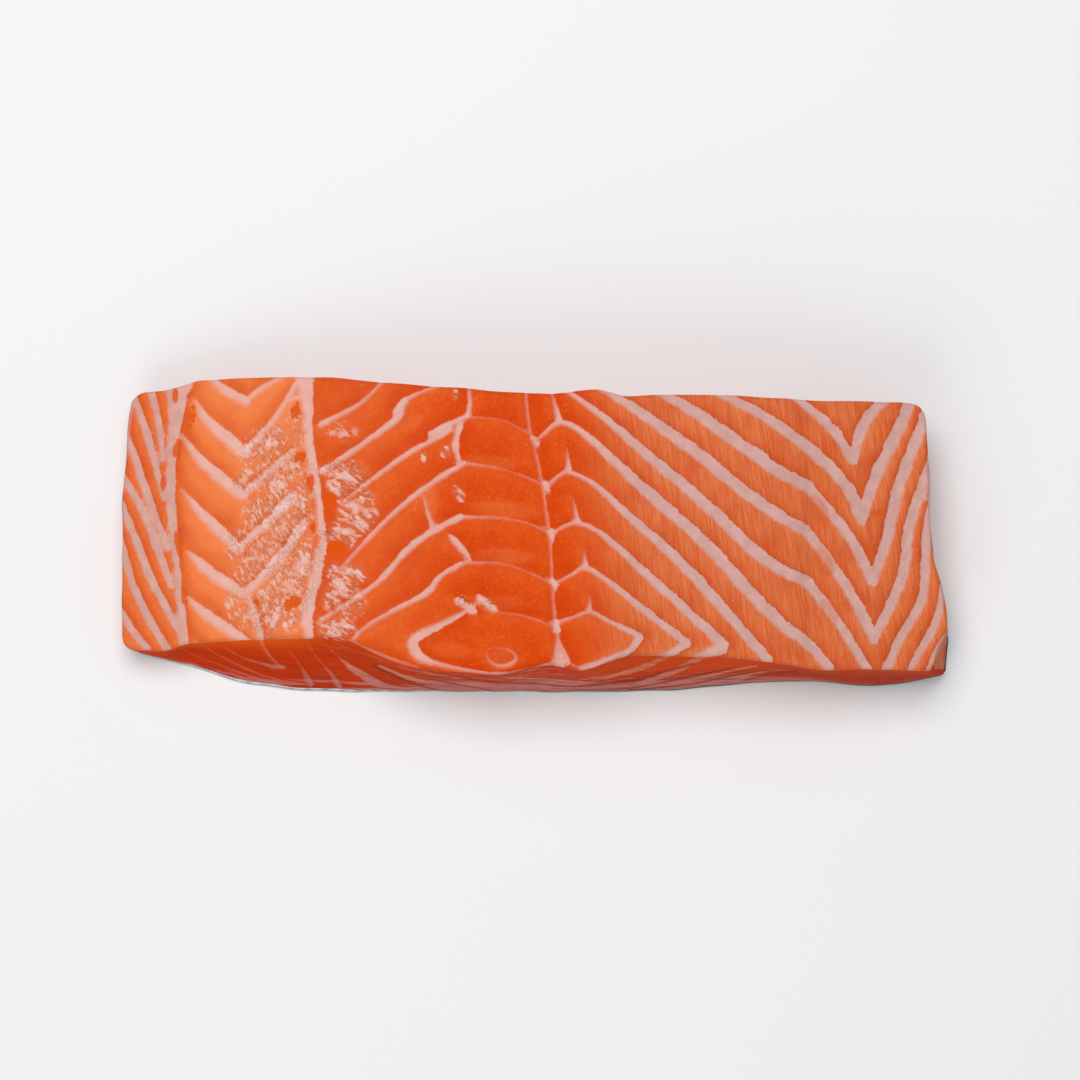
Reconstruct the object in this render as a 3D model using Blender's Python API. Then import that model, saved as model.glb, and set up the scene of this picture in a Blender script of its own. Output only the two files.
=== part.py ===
"""Raw salmon fillet: a piece cut right across one side of the fish, lying skin down, flesh up.

Units are metres, +Z is up. X runs from the thin belly end to the thick back end, and Y from the near cut
face to the far one. The origin is the middle of the underside, on the surface that the fillet lies on.
"""

import math

import bmesh
import bpy
from mathutils import Vector, noise

# Driving dimensions of the whole piece.
BELLY_END_X = -0.1026
BACK_END_X = 0.1005
BELLY_THICKNESS = 0.0105
RIB_THICKNESS = 0.0185
LOIN_THICKNESS = 0.0275
BACK_THICKNESS = 0.0165

# Depth of flesh along X, from the belly flap over the loin to the back.
THICKNESS = (
    (BELLY_END_X, BELLY_THICKNESS),
    (-0.080, 0.0135),
    (-0.053, RIB_THICKNESS),
    (-0.024, 0.0245),
    (0.005, LOIN_THICKNESS),
    (0.045, LOIN_THICKNESS),
    (0.080, 0.0225),
    (BACK_END_X, BACK_THICKNESS),
)

# How far the skin lifts off the surface along X: it lies flat but for its two ends.
LIFT = ((BELLY_END_X, 0.0015), (-0.082, 0.0), (0.062, 0.0), (0.084, 0.0012), (BACK_END_X, 0.0045))

# Plan of the flesh, as Y along X: the far rim, the near rim, and the foot of the slanting near face.
FAR_RIM = (
    (-0.1000, 0.0356),
    (-0.0935, 0.0359),
    (-0.0880, 0.0373),
    (-0.0830, 0.0386),
    (-0.0620, 0.0390),
    (-0.0300, 0.0364),
    (0.0020, 0.0338),
    (0.0145, 0.0346),
    (0.0232, 0.0331),
    (0.0310, 0.0335),
    (0.0460, 0.0334),
    (0.0620, 0.0325),
    (0.0960, 0.0321),
)
NEAR_RIM = (
    (-0.1000, -0.0287),
    (-0.0925, -0.0289),
    (-0.0850, -0.0269),
    (-0.0500, -0.0258),
    (-0.0310, -0.0328),
    (-0.0090, -0.0350),
    (0.0040, -0.0325),
    (0.0115, -0.0339),
    (0.0240, -0.0303),
    (0.0440, -0.0306),
    (0.0720, -0.0336),
    (0.0980, -0.0338),
)
NEAR_FOOT = (
    (-0.1000, -0.0290),
    (-0.0880, -0.0320),
    (-0.0700, -0.0370),
    (-0.0450, -0.0388),
    (0.0250, -0.0388),
    (0.0640, -0.0362),
    (0.0860, -0.0372),
    (0.1010, -0.0350),
)
FAR_UNDERCUT = 0.0018

# The two ends, as X from the near side (-1) to the far side (1).
BELLY_END = ((-1.0, BELLY_END_X), (0.1, BELLY_END_X), (1.0, -0.1012))
BACK_END = (
    (-1.0, 0.0978),
    (-0.84, 0.0993),
    (-0.68, 0.1014),
    (-0.38, 0.1003),
    (-0.10, 0.0979),
    (1.0, 0.0966),
)
BELLY_UNDERCUT = 0.0008

# How far the foot of the back end stands out past its rim: it flares at the near corner and draws in at the far.
BACK_FLARE = ((-1.0, 0.0048), (-0.84, 0.0036), (-0.66, 0.0014), (-0.30, -0.0018), (1.0, -0.0030))

# Rounding: the corners seen from above, belly end first, and the top edges.
CORNERS_FAR = (0.0045, 0.0045)
CORNERS_NEAR = (0.0034, 0.0012)
EDGE_FAR = 0.0012
EDGE_NEAR = 0.0012
EDGE_ENDS = 0.0012
FACE_BULGE = 1.10
CROWN = 0.0010

# The relief fades to a share of its depth over this width of rim.
RIM_WIDTH = 0.0030
RIM_RELIEF = 0.35

# Flakes: muscle blocks in a row of W shaped bands, divided by shallow valleys.
FLAKE_STEP = 0.0118
FLAKE_DEPTH = 0.00050
FLAKE_LINE = (
    (-0.103, 0.018),
    (-0.089, 0.004),
    (-0.072, -0.012),
    (-0.057, 0.002),
    (-0.048, -0.014),
    (-0.018, 0.010),
    (0.004, 0.006),
    (0.010, 0.009),
    (0.062, -0.034),
    (0.081, -0.050),
    (0.097, -0.020),
)

# Larger relief of the flesh side.
MIDLINE_X = 0.0030
MIDLINE_SLANT = -0.100
MIDLINE_DEPTH = 0.00060
MIDLINE_HALF_WIDTH = 0.0018
CREASE_X = 0.0672
CREASE_DEPTH = 0.0005
CREASE_HALF_WIDTH = 0.0026
CREASE_STEP = 0.0007
TORN_BANDS = ((-0.0680, 0.0085), (-0.0460, 0.0070))
TORN_DEPTH = 0.0011
TORN_GRAIN = 0.0042
FACE_RIPPLE = 0.0005
FACE_GRAIN = 0.0110
END_GRAIN = 0.35
RIPPLE_FADE = 8
CREASE_WANDER = 0.0010
CREASE_GRAIN = 0.012

# Cells of the mesh along X, across Y and up Z, and how much they crowd towards the edges.
CELLS = (84, 26, 4)
CROWDING = 0.28

FLESH_COLOUR = (0.72, 0.14, 0.035, 1.0)
FLESH_ROUGHNESS = 0.35


def smooth(t):
    """Ease t from 0 to 1."""
    t = min(max(t, 0.0), 1.0)
    return t * t * (3.0 - 2.0 * t)


def mix(a, b, t):
    return a + (b - a) * t


def shared_slope(before, after):
    """Slope where two runs meet: level at a crest or a hollow, so that the curve never overshoots."""
    if before * after <= 0.0:
        return 0.0
    return 2.0 * before * after / (before + after)


def along(stations, x):
    """Value at x of the smooth curve through the stations, level beyond the first and last."""
    if x <= stations[0][0]:
        return stations[0][1]
    if x >= stations[-1][0]:
        return stations[-1][1]
    slopes = [(b[1] - a[1]) / (b[0] - a[0]) for a, b in zip(stations, stations[1:])]
    i = next(k for k in range(len(slopes)) if x <= stations[k + 1][0])
    start = slopes[0] if i == 0 else shared_slope(slopes[i - 1], slopes[i])
    end = slopes[-1] if i == len(slopes) - 1 else shared_slope(slopes[i], slopes[i + 1])
    span = stations[i + 1][0] - stations[i][0]
    t = (x - stations[i][0]) / span
    ease_in = t * (1.0 - t) ** 2 * span * start
    ease_out = t * t * (t - 1.0) * span * end
    return mix(stations[i][1], stations[i + 1][1], t * t * (3.0 - 2.0 * t)) + ease_in + ease_out


def straight(stations, x):
    """Value at x of the straight runs through the stations."""
    for a, b in zip(stations, stations[1:]):
        if x <= b[0]:
            return mix(a[1], b[1], max(x - a[0], 0.0) / (b[0] - a[0]))
    return stations[-1][1]


def quarter_round(distance, radius):
    """Drop of a rounded edge at a distance in from its rim."""
    rest = 1.0 - min(max(distance / radius, 0.0), 1.0)
    return radius * (1.0 - math.sqrt(1.0 - rest * rest))


def bell(distance, half_width):
    return math.exp(-((distance / half_width) ** 2))


def grain(x, y, size, seed):
    """Smooth lumps of about the given size, from -1 to 1."""
    return noise.noise(Vector((x / size, y / size, seed)))


def flake_relief(x, y):
    """Narrow valleys between the muscle bands."""
    turn = (y - straight(FLAKE_LINE, x)) / FLAKE_STEP
    valley = (0.5 + 0.5 * math.cos(2.0 * math.pi * turn)) ** 3
    return -FLAKE_DEPTH * valley


def large_relief(x, y):
    """The groove at the middle of the side, the crease near the back and the torn flesh by the ribs."""
    midline = MIDLINE_X + MIDLINE_SLANT * y
    height = -MIDLINE_DEPTH * bell(x - midline, MIDLINE_HALF_WIDTH)
    off = x - CREASE_X - CREASE_WANDER * grain(0.0, y, CREASE_GRAIN, 3.0)
    height -= CREASE_DEPTH * bell(off, CREASE_HALF_WIDTH)
    height -= CREASE_STEP * smooth(0.5 + off / (4.0 * CREASE_HALF_WIDTH))
    for centre, half_width in TORN_BANDS:
        height += TORN_DEPTH * bell(x - centre, half_width) * grain(x, y, TORN_GRAIN, 5.0)
    return height


def corner_cut(from_belly, from_back, radii):
    """How far a rim draws in at its two corners."""
    return quarter_round(from_belly, radii[0]) + quarter_round(from_back, radii[1])


def place(u, v, w):
    """Point of the fillet for u along X and v across Y, each -1 to 1, and w from 0 underneath to 1 on top."""
    x_belly = along(BELLY_END, v)
    x_back = along(BACK_END, v)
    rise = w ** (1.0 / FACE_BULGE)
    left = x_belly + BELLY_UNDERCUT * (1.0 - rise)
    right = x_back + along(BACK_FLARE, v) * (1.0 - rise)
    ripple = FACE_RIPPLE * grain(v, w, END_GRAIN, 11.0) * abs(u) ** RIPPLE_FADE
    x = mix(left, right, 0.5 + 0.5 * u) + ripple

    far = along(FAR_RIM, x) - FAR_UNDERCUT * (1.0 - rise) - corner_cut(x - left, right - x, CORNERS_FAR)
    face = mix(along(NEAR_FOOT, x), along(NEAR_RIM, x), w ** FACE_BULGE)
    near = face + corner_cut(x - left, right - x, CORNERS_NEAR)
    ripple = FACE_RIPPLE * grain(x, w * FACE_GRAIN, FACE_GRAIN, 7.0) * abs(v) ** RIPPLE_FADE
    y = mix(near, far, 0.5 + 0.5 * v) + ripple

    bottom = along(LIFT, x)
    top = bottom + along(THICKNESS, x) - CROWN * v * v
    top -= quarter_round(far - y, EDGE_FAR) + quarter_round(y - near, EDGE_NEAR)
    top -= quarter_round(x - left, EDGE_ENDS) + quarter_round(right - x, EDGE_ENDS)
    inside = smooth(min(far - y, y - near, x - left, right - x) / RIM_WIDTH)
    top += (flake_relief(x, y) + large_relief(x, y)) * mix(RIM_RELIEF, 1.0, inside)
    return Vector((x, y, mix(bottom, top, w)))


def crowd(t):
    """Spread even steps from -1 to 1 so that they are closer near both ends."""
    return t * (1.0 + CROWDING) - CROWDING * t ** 3


def divided_block():
    """A block from -1 to 1 each way, cut into even cells."""
    bm = bmesh.new()
    bmesh.ops.create_cube(bm, size=2.0)
    for axis, cells in enumerate(CELLS):
        runs = [e for e in bm.edges if abs(e.verts[0].co[axis] - e.verts[1].co[axis]) > 1.0]
        bmesh.ops.subdivide_edges(bm, edges=runs, cuts=cells - 1, use_grid_fill=True)
    return bm


def flesh_material():
    material = bpy.data.materials.new("salmon_flesh")
    material.use_nodes = True
    shader = material.node_tree.nodes["Principled BSDF"]
    shader.inputs["Base Color"].default_value = FLESH_COLOUR
    shader.inputs["Roughness"].default_value = FLESH_ROUGHNESS
    shader.inputs["Metallic"].default_value = 0.0
    return material


def build_fillet(collection):
    """The whole fillet as one solid, shaped from a divided block."""
    bm = divided_block()
    for vert in bm.verts:
        u, v, w = vert.co
        vert.co = place(crowd(u), crowd(v), 0.5 + 0.5 * w)
    bmesh.ops.recalc_face_normals(bm, faces=bm.faces)
    mesh = bpy.data.meshes.new("salmon_fillet")
    bm.to_mesh(mesh)
    bm.free()
    mesh.materials.append(flesh_material())
    mesh.shade_smooth()
    fillet = bpy.data.objects.new("salmon_fillet", mesh)
    collection.objects.link(fillet)


def main():
    for old in list(bpy.data.objects):
        bpy.data.objects.remove(old, do_unlink=True)
    collection = bpy.data.collections.new("salmon_fillet")
    bpy.context.scene.collection.children.link(collection)
    build_fillet(collection)


main()
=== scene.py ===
import math

import bmesh
import bpy
import numpy as np
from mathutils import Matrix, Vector, noise


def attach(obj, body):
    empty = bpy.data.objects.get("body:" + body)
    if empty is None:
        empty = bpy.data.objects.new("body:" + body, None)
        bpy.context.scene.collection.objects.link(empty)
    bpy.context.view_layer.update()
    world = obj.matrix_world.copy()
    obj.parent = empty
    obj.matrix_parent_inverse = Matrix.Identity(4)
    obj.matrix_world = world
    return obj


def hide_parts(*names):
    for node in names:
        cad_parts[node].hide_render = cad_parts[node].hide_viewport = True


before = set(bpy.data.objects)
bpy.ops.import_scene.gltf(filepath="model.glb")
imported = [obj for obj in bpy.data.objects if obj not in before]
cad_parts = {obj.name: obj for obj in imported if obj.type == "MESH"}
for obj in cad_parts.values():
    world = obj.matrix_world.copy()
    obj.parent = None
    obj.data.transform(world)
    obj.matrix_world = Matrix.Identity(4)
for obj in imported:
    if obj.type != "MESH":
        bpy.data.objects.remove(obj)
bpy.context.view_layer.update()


# The view: one camera nearly overhead, leaning a little to the near side. The marbling below was drawn over
# the picture, in its pixels, so the same camera also says where each drawn line lies on the flesh.
VIEW_LEAN = math.radians(3.3)
VIEW_DISTANCE = 0.760
VIEW_WIDTH = 0.2631
VIEW_AIM = Vector((0.0013, -0.00225, 0.027))
PICTURE_SIZE = 1080.0
SENSOR = 36.0

camera = bpy.data.objects.new("camera", bpy.data.cameras.new("camera"))
bpy.context.scene.collection.objects.link(camera)
camera.location = VIEW_AIM + VIEW_DISTANCE * Vector((0.0, -math.sin(VIEW_LEAN), math.cos(VIEW_LEAN)))
camera.rotation_euler = (VIEW_LEAN, 0.0, 0.0)
camera.data.sensor_width = SENSOR
camera.data.lens = SENSOR * VIEW_DISTANCE / VIEW_WIDTH
camera.data.clip_start = 0.01
bpy.context.scene.camera = camera
MM = 1000.0
PIXELS_PER_MM = PICTURE_SIZE / (VIEW_WIDTH * MM)


def in_picture(points):
    """Where points of the object (rows of x, y, z) show in the picture, in pixels from its top left."""
    x, y, z = (points - np.array(camera.location)).T
    depth = z * -math.cos(VIEW_LEAN) + y * math.sin(VIEW_LEAN)
    up = y * math.cos(VIEW_LEAN) + z * math.sin(VIEW_LEAN)
    zoom = PICTURE_SIZE * VIEW_DISTANCE / VIEW_WIDTH
    return np.stack((PICTURE_SIZE / 2 + zoom * x / depth, PICTURE_SIZE / 2 - zoom * up / depth), axis=1)


# The flesh: one piece of raw salmon, cut right across one side of the fish. It is thin at the belly flap,
# thick at the loin and thinner again at the back. The near face was cut on a slant, the far one almost
# upright. These are the solid's own sizes, so that the fine surface has its form.
BELLY_END_X = -0.1026
BACK_END_X = 0.1005
LOIN_THICKNESS = 0.0275
THICKNESS = (
    (BELLY_END_X, 0.0105),
    (-0.080, 0.0135),
    (-0.053, 0.0185),
    (-0.024, 0.0245),
    (0.005, LOIN_THICKNESS),
    (0.045, LOIN_THICKNESS),
    (0.080, 0.0225),
    (BACK_END_X, 0.0165),
)
LIFT = ((BELLY_END_X, 0.0015), (-0.082, 0.0), (0.062, 0.0), (0.084, 0.0012), (BACK_END_X, 0.0045))
FAR_RIM = (
    (-0.1000, 0.0356),
    (-0.0935, 0.0359),
    (-0.0880, 0.0373),
    (-0.0830, 0.0386),
    (-0.0620, 0.0390),
    (-0.0300, 0.0364),
    (0.0020, 0.0338),
    (0.0145, 0.0346),
    (0.0232, 0.0331),
    (0.0310, 0.0335),
    (0.0460, 0.0334),
    (0.0620, 0.0325),
    (0.0960, 0.0321),
)
NEAR_RIM = (
    (-0.1000, -0.0287),
    (-0.0925, -0.0289),
    (-0.0850, -0.0269),
    (-0.0500, -0.0258),
    (-0.0310, -0.0328),
    (-0.0090, -0.0350),
    (0.0040, -0.0325),
    (0.0115, -0.0339),
    (0.0240, -0.0303),
    (0.0440, -0.0306),
    (0.0720, -0.0336),
    (0.0980, -0.0338),
)
NEAR_FOOT = (
    (-0.1000, -0.0290),
    (-0.0880, -0.0320),
    (-0.0700, -0.0370),
    (-0.0450, -0.0388),
    (0.0250, -0.0388),
    (0.0640, -0.0362),
    (0.0860, -0.0372),
    (0.1010, -0.0350),
)
FAR_UNDERCUT = 0.0018
BELLY_END = ((-1.0, BELLY_END_X), (0.1, BELLY_END_X), (1.0, -0.1012))
BACK_END = (
    (-1.0, 0.0978),
    (-0.84, 0.0993),
    (-0.68, 0.1014),
    (-0.38, 0.1003),
    (-0.10, 0.0979),
    (1.0, 0.0966),
)
BELLY_UNDERCUT = 0.0008
BACK_FLARE = ((-1.0, 0.0048), (-0.84, 0.0036), (-0.66, 0.0014), (-0.30, -0.0018), (1.0, -0.0030))
CORNERS_FAR = (0.0045, 0.0045)
CORNERS_NEAR = (0.0034, 0.0012)
EDGE_FAR = 0.0012
EDGE_NEAR = 0.0012
EDGE_ENDS = 0.0012
RIM_WIDTH = 0.0030
FACE_BULGE = 1.10
CROWN = 0.0010
FACE_RIPPLE = 0.0005
FACE_GRAIN = 0.0110
END_GRAIN = 0.35
RIPPLE_FADE = 8
MIDLINE_X = 0.0030
MIDLINE_SLANT = -0.100
MIDLINE_DEPTH = 0.00060
MIDLINE_HALF_WIDTH = 0.0018
CREASE_X = 0.0672
CREASE_DEPTH = 0.0005
CREASE_HALF_WIDTH = 0.0026
CREASE_STEP = 0.0007
CREASE_WANDER = 0.0010
CREASE_GRAIN = 0.012
RIM_RELIEF = 0.35
FLESH_FOOT = 0.0002
FLESH_CELLS = (370, 136, 44)
CROWDING = np.array((0.14, 0.28, 0.0))


def smooth(t):
    t = np.clip(t, 0.0, 1.0)
    return t * t * (3.0 - 2.0 * t)


def mix(a, b, t):
    return a + (b - a) * t


def bell(distance, half_width):
    return np.exp(-((distance / half_width) ** 2))


def along(stations, x):
    """Value at x of the smooth curve through the stations. It never overshoots them."""
    places, values = np.array(stations).T
    gaps = np.diff(places)
    runs = np.diff(values) / gaps
    product = runs[:-1] * runs[1:]
    total = np.where(product > 0.0, runs[:-1] + runs[1:], 1.0)
    slopes = np.concatenate((runs[:1], np.where(product > 0.0, 2.0 * product / total, 0.0), runs[-1:]))
    i = np.clip(np.searchsorted(places, x) - 1, 0, len(runs) - 1)
    t = np.clip((x - places[i]) / gaps[i], 0.0, 1.0)
    eased = gaps[i] * (slopes[i] * t * (1.0 - t) ** 2 + slopes[i + 1] * t * t * (t - 1.0))
    return mix(values[i], values[i + 1], t * t * (3.0 - 2.0 * t)) + eased


def quarter_round(distance, radius):
    """Drop of a rounded edge at a distance in from its rim."""
    rest = 1.0 - np.clip(distance / radius, 0.0, 1.0)
    return radius * (1.0 - np.sqrt(1.0 - rest * rest))


def grain(x, y, size, seed):
    """Smooth lumps of about the given size, from -1 to 1."""
    flat = zip(np.ravel(x) / size, np.ravel(y) / size)
    lumps = [noise.noise(Vector((a, b, seed))) for a, b in flat]
    return np.array(lumps).reshape(np.shape(x))


def flesh_form(u, v, w):
    """Points of the flesh for u along X and v across Y, -1 to 1, and w from 0 at the skin to 1 on top."""
    rise = w ** (1.0 / FACE_BULGE)
    left = along(BELLY_END, v) + BELLY_UNDERCUT * (1.0 - rise)
    right = along(BACK_END, v) + along(BACK_FLARE, v) * (1.0 - rise)
    x = mix(left, right, 0.5 + 0.5 * u)
    x += FACE_RIPPLE * grain(v, w, END_GRAIN, 11.0) * np.abs(u) ** RIPPLE_FADE

    far = along(FAR_RIM, x) - FAR_UNDERCUT * (1.0 - rise)
    near = mix(along(NEAR_FOOT, x), along(NEAR_RIM, x), w ** FACE_BULGE)
    far -= quarter_round(x - left, CORNERS_FAR[0]) + quarter_round(right - x, CORNERS_FAR[1])
    near += quarter_round(x - left, CORNERS_NEAR[0]) + quarter_round(right - x, CORNERS_NEAR[1])
    ripple = FACE_RIPPLE * grain(x, w * FACE_GRAIN, FACE_GRAIN, 7.0) * np.abs(v) ** RIPPLE_FADE
    y = mix(near, far, 0.5 + 0.5 * v) + ripple

    bottom = along(LIFT, x)
    top = bottom + along(THICKNESS, x) - CROWN * v * v
    top -= quarter_round(far - y, EDGE_FAR) + quarter_round(y - near, EDGE_NEAR)
    top -= quarter_round(x - left, EDGE_ENDS) + quarter_round(right - x, EDGE_ENDS)
    midline = MIDLINE_X + MIDLINE_SLANT * y
    off = x - CREASE_X - CREASE_WANDER * grain(0.0 * y, y, CREASE_GRAIN, 3.0)
    relief = -MIDLINE_DEPTH * bell(x - midline, MIDLINE_HALF_WIDTH)
    relief -= CREASE_DEPTH * bell(off, CREASE_HALF_WIDTH)
    relief -= CREASE_STEP * smooth(0.5 + off / (4.0 * CREASE_HALF_WIDTH))
    rim_distance = np.minimum(np.minimum(far - y, y - near), np.minimum(x - left, right - x))
    top += relief * mix(RIM_RELIEF, 1.0, smooth(rim_distance / RIM_WIDTH))
    return np.stack((x, y, mix(bottom, top, w)), axis=1), rim_distance


def divided_block(cells, open_below):
    """A block from -1 to 1 each way, cut into even cells, with or without its underside."""
    bm = bmesh.new()
    bmesh.ops.create_cube(bm, size=2.0)
    if open_below:
        under = [f for f in bm.faces if f.normal.z < -0.5]
        bmesh.ops.delete(bm, geom=under, context="FACES_ONLY")
    for axis, count in enumerate(cells):
        runs = [e for e in bm.edges if abs(e.verts[0].co[axis] - e.verts[1].co[axis]) > 1.0]
        bmesh.ops.subdivide_edges(bm, edges=runs, cuts=count - 1, use_grid_fill=True)
    return bm


def mesh_places(mesh):
    places = np.empty(3 * len(mesh.vertices), dtype=np.float32)
    mesh.vertices.foreach_get("co", places)
    return places.reshape(-1, 3).astype(float)


def move_to(mesh, places):
    mesh.vertices.foreach_set("co", places.astype(np.float32).ravel())
    mesh.update()


bm = divided_block(FLESH_CELLS, open_below=True)
bmesh.ops.holes_fill(bm, edges=[e for e in bm.edges if e.is_boundary], sides=0)
bmesh.ops.recalc_face_normals(bm, faces=bm.faces)
flesh_mesh = bpy.data.meshes.new("salmon_flesh")
bm.to_mesh(flesh_mesh)
bm.free()
flesh = bpy.data.objects.new("salmon_flesh", flesh_mesh)
bpy.context.scene.collection.objects.link(flesh)
block = mesh_places(flesh_mesh)
spread = block * (1.0 + CROWDING) - CROWDING * block ** 3
u, v, w = spread[:, 0], spread[:, 1], 0.5 + 0.5 * block[:, 2]
places, rim_distance = flesh_form(u, v, w)
places[:, 2] = np.maximum(places[:, 2], along(LIFT, places[:, 0]) + FLESH_FOOT)
rims, _ = flesh_form(u, v, np.ones_like(w))
move_to(flesh_mesh, places)


# The marbling: fat between the muscle bands, as drawn lines. Each has its widths in millimetres, spread
# evenly along it, and the points that it runs through in the picture. A line that ends at a cut edge runs on
# over it and down the cut face.
BACK_BANDS = (
    ((0.8, 2.0, 2.8, 3.0, 2.8, 2.4), ((536, 440), (545, 433), (559, 419), (583, 431), (612, 459),
                                      (661, 504), (708, 544), (740, 582), (776, 620), (809, 644),
                                      (830, 668))),
    ((0.5, 1.6), ((552, 394), (556, 407), (559, 420))),
    ((0.8, 1.6, 2.4, 2.6, 2.4), ((546, 487), (560, 474), (568, 470), (596, 484), (627, 515), (672, 553),
                                 (709, 592), (744, 633), (768, 660))),
    ((0.3, 1.5), ((567, 448), (569, 470))),
    ((0.8, 1.3, 2.0, 2.2, 2.4), ((551, 533), (568, 524), (578, 522), (600, 531), (640, 568), (698, 621),
                                 (724, 645))),
    ((0.3, 1.5), ((573, 498), (578, 522))),
    ((0.8, 1.3, 1.7, 1.8), ((555, 583), (572, 575), (584, 565), (607, 580), (644, 610), (674, 633),
                            (686, 642))),
    ((0.3, 1.5), ((585, 551), (585, 566))),
    ((0.8, 1.0, 1.4), ((557, 622), (575, 617), (590, 610), (606, 620), (630, 631), (639, 636))),
    ((0.3, 0.5), ((568, 661), (575, 666), (582, 669))),
    ((0.3, 1.3), ((590, 597), (590, 611))),
    ((1.2, 2.4, 3.0, 2.6), ((572, 394), (602, 415), (647, 455), (686, 486), (724, 521), (758, 555),
                            (784, 572), (809, 583))),
    ((2.6, 2.2, 2.0), ((809, 584), (826, 605), (851, 642), (868, 670))),
    ((2.0, 2.2, 2.2), ((885, 672), (901, 635), (919, 609), (925, 590), (926, 542), (929, 522))),
    ((1.8, 3.0, 3.0, 2.6), ((612, 394), (640, 412), (670, 433), (715, 467), (755, 500), (788, 521),
                            (806, 530))),
    ((2.4, 2.4, 2.8), ((806, 531), (820, 548), (850, 590), (874, 638))),
    ((2.2, 2.6, 2.6), ((874, 638), (892, 604), (906, 568), (908, 528), (915, 508), (929, 470))),
    ((2.2, 3.0, 3.2, 2.8), ((668, 396), (705, 418), (747, 449), (779, 472), (808, 486))),
    ((2.6, 2.4, 2.8), ((808, 487), (829, 510), (854, 542), (872, 581))),
    ((2.4, 2.8, 2.8), ((872, 581), (887, 542), (895, 500), (906, 465), (920, 432), (927, 412))),
    ((2.0, 2.8, 2.8), ((730, 398), (767, 417), (800, 441), (829, 465), (850, 489), (862, 519))),
    ((2.2, 3.0, 2.8), ((862, 519), (873, 480), (889, 450), (903, 420), (910, 402))),
    ((1.8, 2.4, 2.4), ((800, 401), (832, 426), (853, 459))),
    ((2.0, 2.8, 2.4), ((853, 459), (860, 430), (872, 412), (884, 400))),
    ((1.6, 2.0, 1.4), ((910, 670), (919, 652), (930, 635), (939, 616), (942, 592))),
    ((1.2, 1.4), ((929, 668), (937, 650), (949, 632))),
)
MIDLINE = (
    ((0.7, 0.6, 0.7, 0.6, 0.8), ((526, 394), (529, 428), (538, 460), (545, 500), (551, 545), (553, 600),
                                 (558, 640))),
    ((1.0, 1.2), ((558, 640), (555, 662))),
    ((1.0, 1.2), ((558, 640), (568, 662))),
    ((1.4, 1.4), ((533, 438), (537, 444))),
    ((1.6, 1.2), ((545, 484), (548, 490))),
    ((2.0, 1.2), ((551, 532), (552, 541))),
    ((1.8, 1.6), ((552, 581), (555, 586))),
    ((1.8, 1.8), ((556, 622), (557, 630))),
    ((1.0, 2.4), ((560, 650), (561, 664))),
)
LOIN_BANDS = (
    ((1.4, 1.0, 0.8), ((321, 424), (354, 408), (368, 397), (380, 384))),
    ((1.4, 1.3, 1.8), ((324, 469), (354, 450), (379, 432), (399, 418), (403, 404))),
    ((2.2, 2.0), ((397, 411), (404, 401))),
    ((1.2, 0.8), ((404, 400), (418, 393), (434, 387))),
    ((0.8, 1.1, 1.3, 1.4), ((345, 500), (370, 481), (404, 455), (434, 439), (450, 430))),
    ((2.0, 1.6, 1.2), ((432, 434), (450, 424), (467, 416))),
    ((1.4, 0.8), ((468, 415), (470, 404), (469, 390))),
    ((0.5, 0.25, 0.5), ((466, 417), (500, 418), (520, 428), (532, 435))),
    ((1.6, 1.8, 1.2), ((460, 425), (454, 445), (460, 463))),
    ((0.8, 1.1, 1.3, 1.4), ((342, 567), (370, 536), (396, 510), (430, 483), (464, 463))),
    ((0.7, 0.25, 0.6), ((464, 463), (497, 467), (528, 477), (544, 486))),
    ((0.9, 1.2, 1.6, 1.5), ((320, 620), (345, 605), (382, 580), (406, 549), (435, 529), (461, 517))),
    ((1.0, 0.35, 0.7), ((461, 517), (500, 517), (530, 523), (550, 533))),
    ((1.3, 0.6), ((433, 527), (427, 512), (424, 498))),
    ((0.8, 1.0, 1.6, 1.2), ((352, 640), (365, 626), (399, 607), (430, 592), (438, 576), (462, 563))),
    ((0.9, 0.3, 0.6), ((462, 563), (500, 562), (525, 570), (551, 583))),
    ((1.4, 1.8, 0.8), ((451, 537), (464, 550), (471, 563))),
    ((1.0, 1.4, 2.2), ((475, 605), (450, 621), (422, 634))),
    ((2.2, 2.6, 1.4), ((422, 634), (411, 641), (416, 654), (431, 662))),
    ((0.3, 0.5), ((497, 612), (520, 614), (552, 625))),
    ((1.6, 1.8), ((458, 600), (473, 611))),
    ((1.8, 1.6), ((480, 598), (494, 609))),
    ((0.1, 0.2, 0.6, 1.0, 0.6, 0.1), ((500, 648), (488, 648), (486, 658), (496, 666), (508, 666),
                                      (518, 658), (510, 650), (500, 648))),
)
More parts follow.
